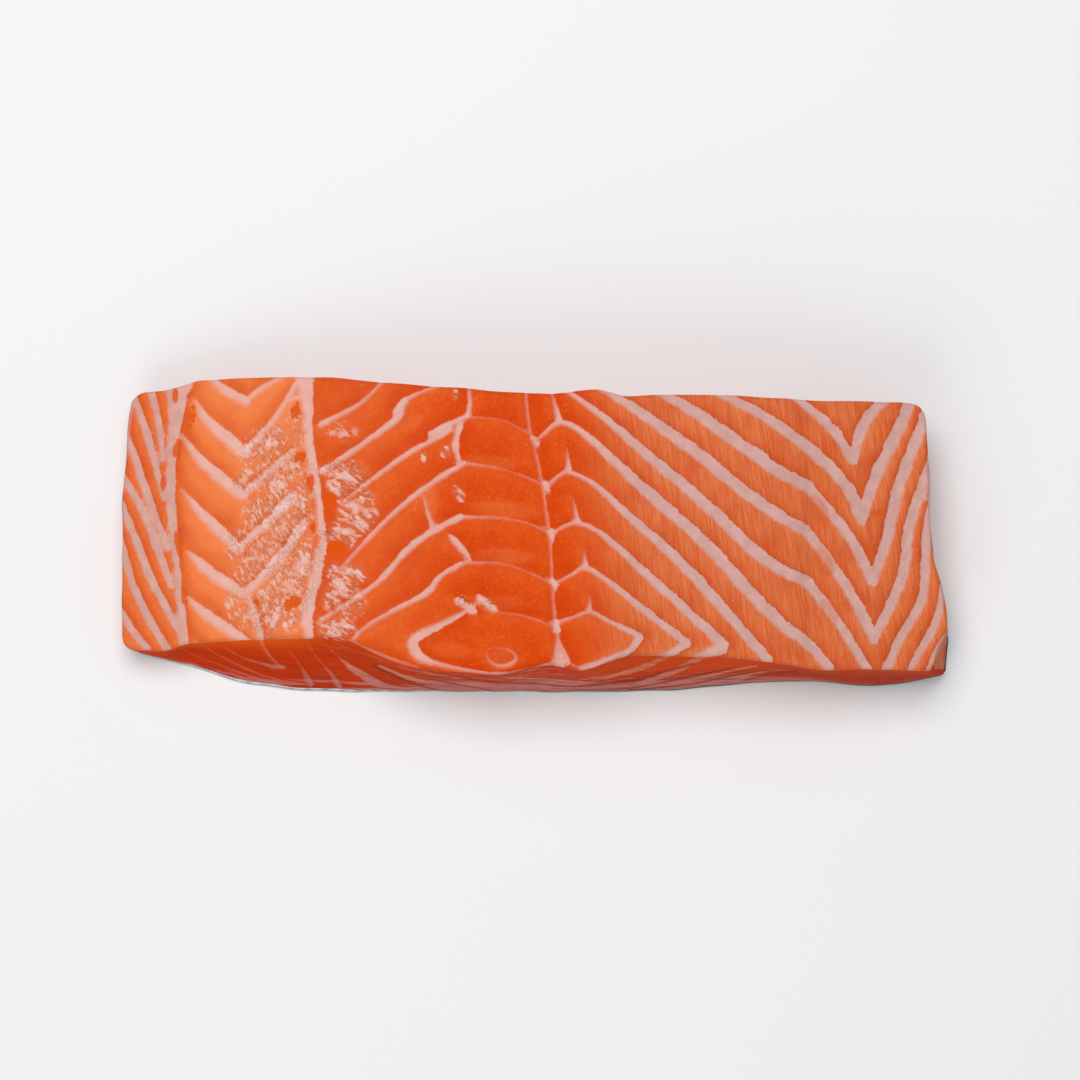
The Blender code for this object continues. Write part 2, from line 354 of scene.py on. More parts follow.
BELLY_BANDS = (
    ((1.4, 2.2, 2.0), ((212, 379), (226, 391), (246, 401))),
    ((1.2, 1.0), ((246, 401), (260, 389), (276, 380))),
    ((0.7, 2.2, 3.0, 2.6), ((196, 402), (207, 421), (222, 433), (243, 452))),
    ((1.8, 1.2, 1.2), ((243, 452), (260, 436), (276, 417), (290, 394))),
    ((0.9, 1.2), ((289, 401), (296, 397), (304, 399))),
    ((0.7, 2.0, 2.8, 2.4), ((181, 434), (196, 456), (219, 477), (242, 495))),
    ((1.6, 1.4, 1.2), ((242, 495), (262, 478), (293, 450))),
    ((0.7, 2.0, 2.8, 2.4), ((182, 490), (200, 512), (222, 533), (239, 548))),
    ((1.4, 1.8, 2.4), ((239, 548), (262, 527), (291, 500))),
    ((0.8, 2.6, 2.6, 1.8), ((188, 552), (214, 576), (244, 594))),
    ((1.4, 2.2, 1.8), ((244, 594), (270, 570), (290, 545), (304, 522))),
    ((0.8, 2.4, 2.6, 2.2), ((186, 597), (214, 620), (246, 642))),
    ((1.2, 1.6, 1.4), ((248, 596), (256, 615), (262, 643))),
    ((4.2, 2.6, 1.8, 2.4), ((304, 376), (308, 400), (308, 430), (312, 465))),
    ((2.4, 1.6, 1.8), ((312, 465), (319, 500), (323, 540))),
    ((2.0, 2.8, 3.2, 2.2), ((323, 540), (316, 575), (306, 610), (309, 640))),
    ((4.0, 3.0, 2.4, 2.4, 1.9, 1.5, 1.9, 2.4), ((184, 382), (178, 405), (172, 440), (170, 480), (172, 520),
                                                (176, 560), (180, 600), (184, 645))),
    ((1.6, 1.4, 1.0), ((168, 384), (172, 410), (170, 445))),
    ((1.6, 1.6, 1.2), ((152, 394), (160, 425), (163, 460))),
    ((1.6, 1.8, 1.4), ((134, 398), (146, 430), (155, 463), (164, 498))),
    ((1.6, 2.0, 1.6), ((127, 436), (138, 466), (150, 505), (168, 548))),
    ((1.6, 2.0, 1.6), ((126, 482), (142, 508), (153, 536), (171, 585))),
    ((1.8, 2.0, 1.6), ((125, 514), (140, 550), (152, 583), (182, 636))),
    ((1.6, 2.0, 1.8), ((122, 546), (132, 585), (149, 620), (168, 650))),
    ((1.6, 1.8), ((122, 614), (133, 631), (147, 649))),
    ((1.0, 0.8), ((131, 404), (127, 440))),
)
HOOK_ARMS = (
    ((3.0, 2.2, 2.8, 2.8, 2.0, 1.4), ((722, 648), (706, 655), (679, 668), (654, 678), (619, 686))),
    ((2.2, 1.7, 2.6, 2.6, 2.0, 1.2), ((686, 643), (670, 655), (640, 668), (605, 677), (576, 680))),
    ((1.9, 1.6, 2.2, 2.0, 1.4), ((639, 637), (632, 650), (610, 661), (582, 669))),
    ((1.2, 0.9, 1.0, 0.9, 0.8), ((431, 662), (469, 671), (500, 675), (530, 670), (553, 663))),
)
NEAR_FACE_LINES = (
    ((0.2, 0.5, 0.6, 0.5), ((195, 641), (205, 648), (225, 661), (245, 671), (265, 679), (296, 684))),
    ((0.3, 0.5, 1.4), ((222, 647), (237, 657), (255, 663), (270, 667))),
    ((1.4, 1.6), ((268, 667), (276, 667))),
    ((0.2, 0.6, 1.0), ((181, 648), (192, 657), (210, 663), (235, 674), (268, 684))),
    ((1.0, 0.6, 0.6), ((261, 642), (264, 652), (273, 665))),
    ((0.2, 0.4, 1.6), ((288, 652), (296, 665), (301, 684))),
    ((0.3, 0.4, 1.6), ((306, 641), (312, 656), (322, 670), (329, 687))),
    ((0.3, 0.6, 3.0, 3.4), ((322, 641), (334, 657), (352, 674), (372, 686))),
    ((3.0, 1.4, 0.8), ((372, 686), (395, 689), (430, 692))),
    ((0.4, 0.5, 0.6), ((332, 642), (350, 650), (372, 657), (392, 664))),
    ((1.8, 2.4, 2.2, 1.6), ((378, 667), (395, 675), (420, 683), (462, 688))),
    ((0.6, 1.2, 1.2, 0.8), ((395, 667), (430, 674), (470, 679), (500, 680))),
    ((1.4, 1.6, 1.4), ((425, 681), (480, 686), (540, 688))),
    ((1.4, 2.2, 1.6), ((500, 678), (540, 679), (575, 682))),
    ((0.4, 0.6, 0.4), ((350, 640), (372, 651), (392, 659), (418, 667))),
    ((2.0, 1.8, 1.2), ((640, 687), (690, 679), (725, 671), (754, 666))),
    ((2.0, 1.6, 0.6), ((690, 686), (730, 677), (765, 671), (785, 670))),
    ((0.2, 0.3), ((820, 669), (862, 684))),
    ((0.2, 0.3), ((858, 671), (890, 684))),
    ((0.2, 0.3), ((884, 672), (906, 681))),
)
GROOVES = (
    ((370, 666), (385, 673), (405, 684), (435, 692)),
    ((425, 679), (450, 685), (480, 690)),
    ((430, 672), (470, 680), (500, 683), (540, 684), (560, 687), (590, 684)),
    ((545, 686), (575, 687), (600, 684), (633, 679), (668, 670), (692, 664)),
    ((560, 690), (615, 689), (651, 684), (690, 675), (730, 668)),
    ((620, 690), (650, 688), (690, 683), (720, 677), (750, 672)),
    ((738, 680), (765, 674), (796, 671)),
)
FAR_EDGES = (386.0, 397.0)
FAR_EDGES_MEET = 600.0
BELLY_EDGE = 125.0
BACK_EDGE = 935.0
CUT_EDGE = 9.0
RUN_ON = 90.0
FAR_RUN = (-0.15, -0.55)
END_RUN = 0.55
END_CUT_SHARE = 0.15
CORNER_CUTS = 2
LINE_REACH = 40.0
NO_LINE = 60.0


def rounded(points):
    """The points with their corners cut, so that they run in a smooth curve with the same ends."""
    for _ in range(CORNER_CUTS):
        first, last = points[:1], points[-1:]
        quarter = 0.75 * points[:-1] + 0.25 * points[1:]
        three_quarters = 0.25 * points[:-1] + 0.75 * points[1:]
        points = np.concatenate((first, np.stack((quarter, three_quarters), axis=1).reshape(-1, 2), last))
    return points


def at_cut_edge(point):
    """Whether a point lies at the far, belly or back edge as the picture shows them."""
    far_edge = FAR_EDGES[0] if point[0] < FAR_EDGES_MEET else FAR_EDGES[1]
    return point[1] < far_edge + CUT_EDGE or not BELLY_EDGE + CUT_EDGE <= point[0] <= BACK_EDGE - CUT_EDGE


def drawn_line(widths, points):
    """One fat line as its rounded points and half widths in pixels, run on over a cut edge."""
    points = rounded(np.array(points, dtype=float))
    run = np.concatenate(([0.0], np.cumsum(np.linalg.norm(np.diff(points, axis=0), axis=1))))
    widths = np.interp(run / run[-1], np.linspace(0.0, 1.0, len(widths)), widths)
    for end, inner in ((0, 1), (-1, -2)):
        if at_cut_edge(points[end]):
            onward = points[end] - points[inner]
            beyond = points[end] + onward * (RUN_ON / np.linalg.norm(onward))
            at = 0 if end == 0 else len(points)
            points = np.insert(points, at, beyond, axis=0)
            widths = np.insert(widths, at, widths[end])
    return points, 0.5 * widths * PIXELS_PER_MM


def nearest_line(seen, lines):
    """For each place: the distance to the nearest fat line, its side of it and that line's half width."""
    nearness = np.full(len(seen), NO_LINE)
    distance = np.full(len(seen), NO_LINE)
    side = np.full(len(seen), NO_LINE)
    half = np.zeros(len(seen))
    for points, halves in lines:
        low, high = points.min(axis=0) - LINE_REACH, points.max(axis=0) + LINE_REACH
        close = np.nonzero(np.all((seen > low) & (seen < high), axis=1))[0]
        for i in range(len(points) - 1):
            step = points[i + 1] - points[i]
            length = max(np.hypot(*step), 1e-6)
            offset = seen[close] - points[i]
            t = np.clip(offset @ step / length ** 2, 0.0, 1.0)
            away = np.hypot(*(offset - t[:, None] * step).T)
            half_here = mix(halves[i], halves[i + 1], t)
            better = away - half_here < nearness[close]
            chosen = close[better]
            turn = step[0] * offset[better, 1] - step[1] * offset[better, 0]
            nearness[chosen] = (away - half_here)[better]
            distance[chosen] = away[better]
            side[chosen] = away[better] * np.where(turn < 0.0, -1.0, 1.0)
            half[chosen] = half_here[better]
    return np.stack((distance, side, half))


# The near face is seen almost edge on, so its places and lines are first laid out flat below its rim.
FACE_COLUMNS = 120
FACE_ROWS = 30
ALMOST_ONE = 0.999
columns, rows = np.meshgrid(np.linspace(-1.0, 1.0, FACE_COLUMNS), np.linspace(1.0, 0.0, FACE_ROWS))
face, _ = flesh_form(columns.ravel(), np.full(columns.size, -1.0), rows.ravel())
face_seen = in_picture(face).reshape(FACE_ROWS, FACE_COLUMNS, 2)
face = face.reshape(FACE_ROWS, FACE_COLUMNS, 3)
face_fall = np.linalg.norm(face - face[0], axis=2) * MM * PIXELS_PER_MM


def laid_flat(points):
    """Points of the picture with those on the near face laid out flat below its upper edge."""
    flat = points.copy()
    for point in flat:
        column = np.argmin(np.abs(face_seen[0, :, 0] - point[0]))
        heights = face_seen[:, column, 1]
        if point[1] > heights[0]:
            beyond = max(point[1] - heights[-1], 0.0)
            point[1] = heights[0] + np.interp(point[1], heights, face_fall[:, column]) + beyond
    return flat


seen = in_picture(places)
rim_seen = in_picture(rims)
fall = np.linalg.norm(rims - places, axis=1) * MM * PIXELS_PER_MM
below_rim = w < ALMOST_ONE
on_near_face = (v < -ALMOST_ONE) & below_rim
on_far_face = (v > ALMOST_ONE) & below_rim
on_ends = (np.abs(u) > ALMOST_ONE) & below_rim & ~on_near_face & ~on_far_face
flat_seen = seen.copy()
flat_seen[on_near_face] = rim_seen[on_near_face] + np.outer(fall, (0.0, 1.0))[on_near_face]
flat_seen[on_far_face] = rim_seen[on_far_face] + np.outer(fall, FAR_RUN)[on_far_face]
flat_seen[on_ends] = rim_seen[on_ends] + (np.sign(u) * END_RUN * fall)[on_ends, None] * (1.0, 0.0)
over_the_edge = [drawn_line(*line) for line in HOOK_ARMS + NEAR_FACE_LINES]
drawn = [drawn_line(*line) for line in BACK_BANDS + MIDLINE + LOIN_BANDS + BELLY_BANDS] + over_the_edge
drawn_flat = [(laid_flat(points), halves) for points, halves in over_the_edge]
nearest = nearest_line(flat_seen, drawn)
nearest[:, on_near_face] = nearest_line(flat_seen[on_near_face], drawn_flat)
distance, side, half = nearest
grooves = [rounded(np.array(points, dtype=float)) for points in GROOVES]
grooves = [(laid_flat(points), np.zeros(len(points))) for points in grooves]
groove_distance = np.full(len(seen), NO_LINE)
groove_distance[on_near_face] = nearest_line(flat_seen[on_near_face], grooves)[0]
on_cut_face = (on_near_face | on_far_face) + END_CUT_SHARE * on_ends


# The torn flesh: beside the rib line the bands were pulled apart, so the surface is rough and wet, with pale
# flecks and clear orange pockets of muscle. Each spot has its centre, half sizes, turn in degrees and
# strength, as the picture shows them.
TORN_SPOTS = (
    (264, 444, 36, 20, -38, 0.75),
    (280, 470, 34, 24, -35, 0.85),
    (250, 480, 26, 16, -20, 0.70),
    (288, 515, 30, 34, -20, 1.00),
    (262, 512, 26, 20, -40, 0.80),
    (266, 556, 40, 28, -40, 0.95),
    (290, 590, 28, 46, 0, 0.95),
    (264, 612, 26, 30, 0, 0.85),
    (238, 545, 18, 20, 0, 0.75),
    (240, 600, 20, 44, 0, 0.50),
    (296, 430, 16, 34, 10, 0.55),
    (310, 480, 12, 44, -5, 0.55),
    (317, 560, 12, 50, 8, 0.55),
    (300, 560, 18, 36, 0, 0.85),
    (300, 500, 12, 24, 0, 0.75),
    (340, 430, 28, 14, 20, 0.35),
    (346, 472, 32, 16, 15, 0.90),
    (352, 494, 30, 16, 25, 1.00),
    (358, 516, 22, 24, 0, 1.00),
    (338, 536, 24, 14, 20, 0.85),
    (346, 574, 24, 14, 10, 1.00),
    (344, 600, 26, 22, 30, 1.00),
    (334, 628, 26, 14, 10, 0.95),
    (424, 456, 3, 8, 0, 1.00),
    (446, 452, 5, 7, 20, 0.95),
    (459, 494, 5, 11, -35, 0.90),
    (455, 395, 4, 6, 0, 1.00),
    (463, 602, 9, 7, 30, 1.00),
    (487, 604, 10, 7, 30, 0.90),
)
CLUMPS = (
    (271, 443, 9, 5, 5, 0.9),
    (244, 449, 8, 6, -40, 1.0),
    (258, 440, 12, 3, -45, 0.7),
    (292, 466, 12, 4, 5, 0.9),
    (279, 484, 11, 5, 5, 1.0),
    (246, 482, 9, 6, 0, 0.7),
    (240, 500, 9, 4, 0, 0.6),
    (280, 508, 18, 4, -48, 1.0),
    (300, 500, 8, 8, 0, 0.7),
    (240, 546, 8, 5, 20, 0.7),
    (272, 560, 14, 3.5, -50, 0.9),
    (258, 578, 12, 3, -48, 0.6),
    (305, 566, 8, 13, 10, 0.9),
    (277, 615, 4, 13, 18, 1.0),
    (289, 623, 9, 3.5, -32, 0.9),
    (298, 630, 7, 3, -45, 0.9),
    (296, 600, 8, 20, 20, 0.4),
    (325, 470, 9, 6, 0, 0.8),
    (346, 477, 12, 5, 10, 1.0),
    (332, 486, 10, 5, 32, 1.0),
    (349, 503, 13, 5, 5, 1.0),
    (368, 512, 8, 6, 30, 0.8),
    (344, 531, 14, 5, 10, 0.9),
    (360, 524, 5, 8, 0, 0.6),
    (344, 571, 15, 4, 4, 1.0),
    (338, 583, 12, 3.5, 32, 0.9),
    (350, 593, 13, 5, 22, 1.0),
    (334, 600, 14, 3, 40, 0.8),
    (340, 626, 13, 4, 0, 1.0),
    (326, 612, 8, 4, 40, 0.6),
)
POCKETS_AND_CREASE_SHADE = (
    (175, 395, 3.5, 9, 0, 1.0),
    (177, 448, 5, 12, 15, 1.0),
    (163, 483, 4, 10, 0, 0.8),
    (190, 420, 6, 17, 15, 0.8),
    (178, 545, 4, 20, -12, 0.9),
    (184, 596, 4, 14, -8, 0.9),
    (296, 410, 6, 10, 8, 0.9),
    (300, 457, 7, 7, 0, 1.0),
    (292, 603, 12, 7, -30, 1.0),
    (310, 483, 4.5, 10, 0, 1.0),
    (312, 529, 4, 8, 0, 0.8),
    (256, 603, 4, 4, 0, 1.0),
    (327, 459, 11, 5, -10, 1.0),
    (330, 500, 9, 8, 30, 1.0),
    (327, 514, 7, 5, 0, 0.9),
    (338, 550, 13, 11, 20, 1.0),
    # The last four lie in the back, beside the crease and under its small fold: painted shade where the
    # surface falls away.
    (820, 512, 14, 28, -20, 0.50),
    (824, 562, 15, 26, -25, 0.50),
    (830, 612, 14, 24, -25, 0.45),
    (878, 513, 12, 6, -10, 0.60),
)


def spotted(seen, spots, steepness, at_rim):
    """How strongly each place shows the strongest of the spots around it, fading out at their rims."""
    strongest = np.zeros(len(seen))
    for centre_x, centre_y, half_length, half_width, turn, strength in spots:
        turn = math.radians(turn)
        x, y = seen[:, 0] - centre_x, seen[:, 1] - centre_y
        a = (x * math.cos(turn) + y * math.sin(turn)) / half_length
        b = (y * math.cos(turn) - x * math.sin(turn)) / half_width
        depth = 1.0 - np.hypot(a, b)
        strongest = np.maximum(strongest, strength * smooth(steepness * depth + at_rim))
    return strongest


depth_share = (places[:, 2] - along(LIFT, places[:, 0])) / along(THICKNESS, places[:, 0])
on_top = smooth(2.0 * depth_share - 0.6)
torn = on_top * spotted(seen, TORN_SPOTS, 1.4, 0.2)
clump = on_top * spotted(seen, CLUMPS, 1.2, 0.25)
pocket_and_crease_shade = on_top * spotted(seen, POCKETS_AND_CREASE_SHADE, 1.3, 0.3)

VALLEY_DEPTH = 0.00022
VALLEY_REACH = 4.0
BAND_BULGE = 0.00020
BULGE_REACH = 14.0
TORN_DEPTH = 0.00060
TORN_LUMP = 0.0021
CLUMP_RISE = 0.00030
POCKET_DEPTH = 0.00040
SURFACE_GRAIN = 0.00006
SURFACE_LUMP = 0.0015
GROOVE_DEPTH = 0.00030
GROOVE_HALF_WIDTH = 2.0
RELIEF_FADE = 0.0015
normals = np.empty(3 * len(flesh_mesh.vertices), dtype=np.float32)
flesh_mesh.vertices.foreach_get("normal", normals)
normals = normals.reshape(-1, 3)
lumps = grain(places[:, 0], places[:, 1] + places[:, 2], TORN_LUMP, 21.0)
lumps += 0.5 * grain(places[:, 0], places[:, 1] + places[:, 2], 0.5 * TORN_LUMP, 23.0)
raised = BAND_BULGE * smooth((distance - half) / BULGE_REACH)
raised -= VALLEY_DEPTH * smooth(0.5 - (distance - half) / VALLEY_REACH)
raised += TORN_DEPTH * torn * lumps + CLUMP_RISE * clump - POCKET_DEPTH * pocket_and_crease_shade
raised -= GROOVE_DEPTH * bell(groove_distance, GROOVE_HALF_WIDTH)
raised += SURFACE_GRAIN * grain(places[:, 0], places[:, 1] + places[:, 2], SURFACE_LUMP, 31.0)
raised *= smooth(rim_distance / RELIEF_FADE + 0.3)
move_to(flesh_mesh, places + normals * raised[:, None])


# Finish of the flesh: orange muscle, paler at the belly, deepest in the loin, with fine upright fibres in
# the back. The fat is white to greyish pink with slightly frayed edges, and a greyish band of it lies just
# above the skin. Shares of each region are kept on the mesh for the material to read.
LOIN_COLOUR = (0.690, 0.062, 0.002)
BACK_COLOUR = (0.660, 0.130, 0.036)
BELLY_COLOUR = (0.850, 0.195, 0.052)
STRIPE_COLOUR = (0.760, 0.140, 0.030)
LIGHT_MUSCLE = (0.880, 0.300, 0.120)
LIGHT_LOIN_COLOUR = (0.860, 0.210, 0.040)
DEEP_MUSCLE = (0.540, 0.036, 0.001)
FAT_BACK_COLOUR = (0.605, 0.340, 0.303)
FAT_BELLY_COLOUR = (0.780, 0.410, 0.340)
FAT_STRIPE_COLOUR = (0.625, 0.332, 0.282)
PALE_FAT_COLOUR = (0.840, 0.560, 0.500)
HAZE_COLOUR = (0.800, 0.300, 0.160)
POCKET_COLOUR = (0.730, 0.078, 0.002)
BELLY_POCKET_COLOUR = (0.710, 0.105, 0.012)
CREASE_SHADE_COLOUR = (0.660, 0.105, 0.018)
FLECK_COLOUR = (0.780, 0.400, 0.310)
TORN_EDGE_AND_SHADOW_COLOUR = (0.330, 0.075, 0.030)
WHITE_FLECK_AND_GLINT_COLOUR = (0.850, 0.600, 0.560)
# The cut faces' reds are the muscle's own colour darkened by painted shade.
SHADED_CUT_COLOUR = (0.580, 0.038, 0.002)
SHADED_BACK_CUT_COLOUR = (0.460, 0.030, 0.003)
THREAD_COLOUR = (0.700, 0.290, 0.220)
RIM_LIGHT_COLOUR = (0.860, 0.125, 0.010)
CUT_FAT_COLOUR = (0.730, 0.230, 0.115)
SKIN_FAT_COLOUR = (0.560, 0.200, 0.172)
SEAM_AND_GROOVE_SHADE_COLOUR = (0.240, 0.030, 0.012)
BELLY_TO_LOIN = (285.0, 345.0)
LOIN_TO_BACK = (560.0, 650.0)
LEFT_STRIPES = (172.0, 200.0)
LIGHT_LOIN = (360.0, 480.0)
LIGHT_LOIN_SHARE = 0.27
# Paler patches of the loin, listed as the torn spots are.
PALE_SPOTS = (
    (502, 658, 18, 12, 8, 0.45),
    (505, 510, 46, 12, 5, 0.42),
    (505, 556, 40, 10, 6, 0.40),
    (500, 602, 40, 9, 4, 0.30),
    (492, 462, 44, 9, 4, 0.30),
    (412, 424, 22, 12, -35, 0.35),
    (424, 500, 22, 26, 0, 0.38),
    (450, 650, 26, 12, 10, 0.25),
    (600, 480, 26, 10, 35, 0.20),
)
LOIN_REACH = 4.2
BACK_REACH = 2.0
TONE_PASSES = 5
# How high the band of fat reaches up the cut faces, as a share of their height, along the picture.
BAND_TOPS = (
    (150, 0.00),
    (220, 0.06),
    (300, 0.08),
    (390, 0.12),
    (440, 0.40),
    (560, 0.44),
    (640, 0.26),
    (720, 0.30),
    (790, 0.16),
    # Lowered at the back end so that the foot there shows darker: painted shade under the lifted end.
    (880, 0.06),
    (935, 0.00),
)
# Along the picture: the share of the height where the cut faces start to brighten with painted light towards
# the rim, and how much they do.
FACE_RIM_LIGHTS = (
    (150, 0.58, 0.85),
    (290, 0.58, 0.85),
    (350, 0.58, 0.40),
    (570, 0.60, 0.30),
    (600, 0.30, 0.85),
    (720, 0.25, 0.90),
    (790, 0.55, 0.60),
    (935, 0.45, 0.60),
)
GLOW_FADE = 0.42
FLESH_BUMP = 0.00025
SCATTER_SHARE = 0.10
SCATTER_RADIUS = (1.0, 0.35, 0.20)
SCATTER_DEPTH = 0.0025
FLESH_GLOSS = 0.03


def give_attribute(mesh, name, values):
    kind = "FLOAT_VECTOR" if values.ndim == 2 else "FLOAT"
    layer = mesh.attributes.new(name, kind, "POINT")
    layer.data.foreach_set("vector" if values.ndim == 2 else "value", values.astype(np.float32).ravel())


def evened(values, edges, passes):
    """The values, each drawn towards its neighbours over the mesh's edges a number of times."""
    a, b = edges.T
    count = 1.0 + np.bincount(edges.ravel(), minlength=len(values))
    for _ in range(passes):
        values = values + np.bincount(a, values[b], len(values)) + np.bincount(b, values[a], len(values))
        values /= count
    return values


mm_per_pixel = 1.0 / PIXELS_PER_MM
seen_x = seen[:, 0]
belly_share = 1.0 - smooth((seen_x - BELLY_TO_LOIN[0]) / (BELLY_TO_LOIN[1] - BELLY_TO_LOIN[0]))
light_loin = LIGHT_LOIN_SHARE * (1.0 - smooth((seen_x - LIGHT_LOIN[0]) / (LIGHT_LOIN[1] - LIGHT_LOIN[0])))
belly_share = np.maximum(belly_share, light_loin)
belly_share = np.maximum(belly_share, spotted(seen, PALE_SPOTS, 1.6, 0.0))
back_share = smooth((seen_x - LOIN_TO_BACK[0]) / (LOIN_TO_BACK[1] - LOIN_TO_BACK[0]))
stripe_share = 1.0 - smooth((seen_x - LEFT_STRIPES[0]) / (LEFT_STRIPES[1] - LEFT_STRIPES[0]))
band_top = np.interp(seen_x, *np.array(BAND_TOPS).T)
reach = mix(LOIN_REACH, BACK_REACH, back_share) * PIXELS_PER_MM
# This darkens the muscle above each fat line, as painted shade under the fat's edge, and lightens it below.
line_shade = np.sign(side) * (1.0 - smooth((distance - half) / reach))
edges = np.empty(2 * len(flesh_mesh.edges), dtype=np.int32)
flesh_mesh.edges.foreach_get("vertices", edges)
line_shade = evened(line_shade, edges.reshape(-1, 2), TONE_PASSES)
give_attribute(flesh_mesh, "marbling", np.stack((side, distance, half), axis=1) * mm_per_pixel)
give_attribute(flesh_mesh, "regions", np.stack((belly_share, back_share, stripe_share), axis=1))
give_attribute(flesh_mesh, "spots", np.stack((torn, pocket_and_crease_shade, clump), axis=1))
groove_gap = groove_distance * mm_per_pixel
give_attribute(flesh_mesh, "cut_face", np.stack((on_cut_face, band_top, groove_gap), axis=1))
glow_at, glow_foot, glow_strength = np.array(FACE_RIM_LIGHTS).T
glow_foot = np.interp(seen_x, glow_at, glow_foot)
glow_strength = np.interp(seen_x, glow_at, glow_strength)
face_rim_light = glow_strength * smooth((depth_share - glow_foot) / GLOW_FADE)
give_attribute(flesh_mesh, "rim_light", face_rim_light)
give_attribute(flesh_mesh, "depth", depth_share)
give_attribute(flesh_mesh, "line_shade", line_shade)


class Finish:
    """A material's nodes, added one by one from the coordinates to the shader."""

    def __init__(self, name):
        self.material = bpy.data.materials.new(name)
        self.material.use_nodes = True
        self.tree = self.material.node_tree
        self.shader = self.tree.nodes["Principled BSDF"]

    def add(self, kind, inputs=(), **settings):
        """A node of a kind with its settings, fed by sockets or plain values."""
        node = self.tree.nodes.new(kind)
        for key, value in settings.items():
            setattr(node, key, value)
        for key, value in dict(inputs).items():
            if isinstance(value, bpy.types.NodeSocket):
                self.tree.links.new(value, node.inputs[key])
            else:
                node.inputs[key].default_value = value
        return node

    def math(self, operation, a, b=0.0, c=0.0):
        node = self.add("ShaderNodeMath", {0: a, 1: b, 2: c}, operation=operation)
        return node.outputs[0]

    def ease(self, value, low, high, start=0.0, end=1.0):
        """The value eased from start to end as it goes from low to high."""
        inputs = {"Value": value, "From Min": low, "From Max": high, "To Min": start, "To Max": end}
        return self.add("ShaderNodeMapRange", inputs, interpolation_type="SMOOTHSTEP").outputs[0]

    def blend(self, share, a, b):
        """Colour a turning into colour b as the share goes from 0 to 1."""
        a = a if isinstance(a, bpy.types.NodeSocket) else (*a, 1.0)
        b = b if isinstance(b, bpy.types.NodeSocket) else (*b, 1.0)
        node = self.add("ShaderNodeMix", {0: share, 6: a, 7: b}, data_type="RGBA")
        return node.outputs[2]

    def places(self, scale=(1.0, 1.0, 1.0), turn=0.0):
        """The object's own coordinates, turned about Z and then stretched."""
        coordinates = self.add("ShaderNodeTexCoord").outputs["Object"]
        turned = self.add("ShaderNodeMapping", {"Vector": coordinates, "Rotation": (0.0, 0.0, turn)})
        inputs = {0: turned.outputs[0], 1: scale}
        return self.add("ShaderNodeVectorMath", inputs, operation="MULTIPLY").outputs[0]

    def noise(self, size, detail=2.0, stretch=(1.0, 1.0, 1.0), turn=0.0):
        """Noise from 0 to 1 with lumps of about the size in millimetres."""
        scale = tuple(MM / (size * s) for s in stretch)
        inputs = {"Vector": self.places(scale, turn), "Scale": 1.0, "Detail": detail}
        return self.add("ShaderNodeTexNoise", inputs).outputs["Fac"]

    def parts(self, name):
        """The three numbers of a vector attribute."""
        attribute = self.add("ShaderNodeAttribute", attribute_name=name).outputs["Vector"]
        return self.add("ShaderNodeSeparateXYZ", {0: attribute}).outputs


# The fat: it shows where a drawn line runs. Its edges wobble and fray, softer on the lower side, and pockets
# of clear muscle, with the painted shade beside the back's crease, cut it off.
finish = Finish("salmon_flesh")
line_side, line_distance, line_half = finish.parts("marbling")
belly, back, stripes = finish.parts("regions")
torn_share, pocket_and_shade_share, clump_share = finish.parts("spots")
ragged = finish.math("MULTIPLY_ADD", finish.noise(1.3, 4.0), 3.0, -1.50)
near_pocket_and_shade = finish.ease(pocket_and_shade_share, 0.02, 0.40)
ragged = finish.math("MULTIPLY", ragged, finish.math("SUBTRACT", near_pocket_and_shade, back))
ragged = finish.math("MULTIPLY", ragged, finish.math("MULTIPLY_ADD", stripes, -0.7, 1.0))
ragged = finish.math("MINIMUM", ragged, 0.25)
pocket_and_shade_share = finish.ease(finish.math("ADD", pocket_and_shade_share, ragged), 0.32, 0.68)
cut, band_reach, groove = finish.parts("cut_face")
depth = finish.add("ShaderNodeAttribute", attribute_name="depth").outputs["Fac"]
line_shade_share = finish.add("ShaderNodeAttribute", attribute_name="line_shade").outputs["Fac"]

below = finish.ease(line_side, -0.25, 0.25)
loin = finish.math("SUBTRACT", finish.math("SUBTRACT", 1.0, belly), back)
wobble = finish.math("MULTIPLY_ADD", finish.noise(2.6, 3.0), 2.6, -1.3)
fray = finish.math("MULTIPLY_ADD", finish.noise(0.6, 2.0), 1.6, -0.8)
upper = finish.math("SUBTRACT", 1.0, below)
fray_share = finish.math("MULTIPLY_ADD", finish.math("MULTIPLY", upper, back), 0.35, 0.50)
fray = finish.math("MULTIPLY", fray, finish.math("MULTIPLY_ADD", torn_share, 3.0, fray_share))
across = finish.math("SUBTRACT", line_distance, 0.22)
across = finish.math("MAXIMUM", finish.math("ABSOLUTE", line_side), across)
inner = finish.math("MULTIPLY_ADD", loin, -0.09, finish.math("SUBTRACT", line_half, across))
uneven = finish.math("MULTIPLY_ADD", line_half, 0.30, 0.12)
uneven = finish.math("MULTIPLY", finish.math("ADD", wobble, fray), uneven)
inner = finish.math("ADD", inner, uneven)
lower_softness = finish.math("MULTIPLY_ADD", stripes, -0.50, finish.math("MULTIPLY_ADD", belly, 0.40, 0.36))
lower_softness = finish.math("MULTIPLY", below, lower_softness)
softness = finish.math("MULTIPLY_ADD", belly, 0.12, finish.math("MULTIPLY_ADD", loin, 0.10, 0.16))
softness = finish.math("ADD", softness, finish.math("MULTIPLY_ADD", stripes, -0.12, lower_softness))
softness = finish.math("MULTIPLY", softness, finish.math("MULTIPLY_ADD", cut, -0.5, 1.0))
fat = finish.ease(finish.math("DIVIDE", inner, softness), -1.0, 1.0)
fat = finish.math("MULTIPLY", fat, finish.ease(line_half, 0.05, 0.85, 0.32, 0.96))
fat = finish.math("MULTIPLY", fat, finish.math("MULTIPLY_ADD", pocket_and_shade_share, -0.92, 1.0))
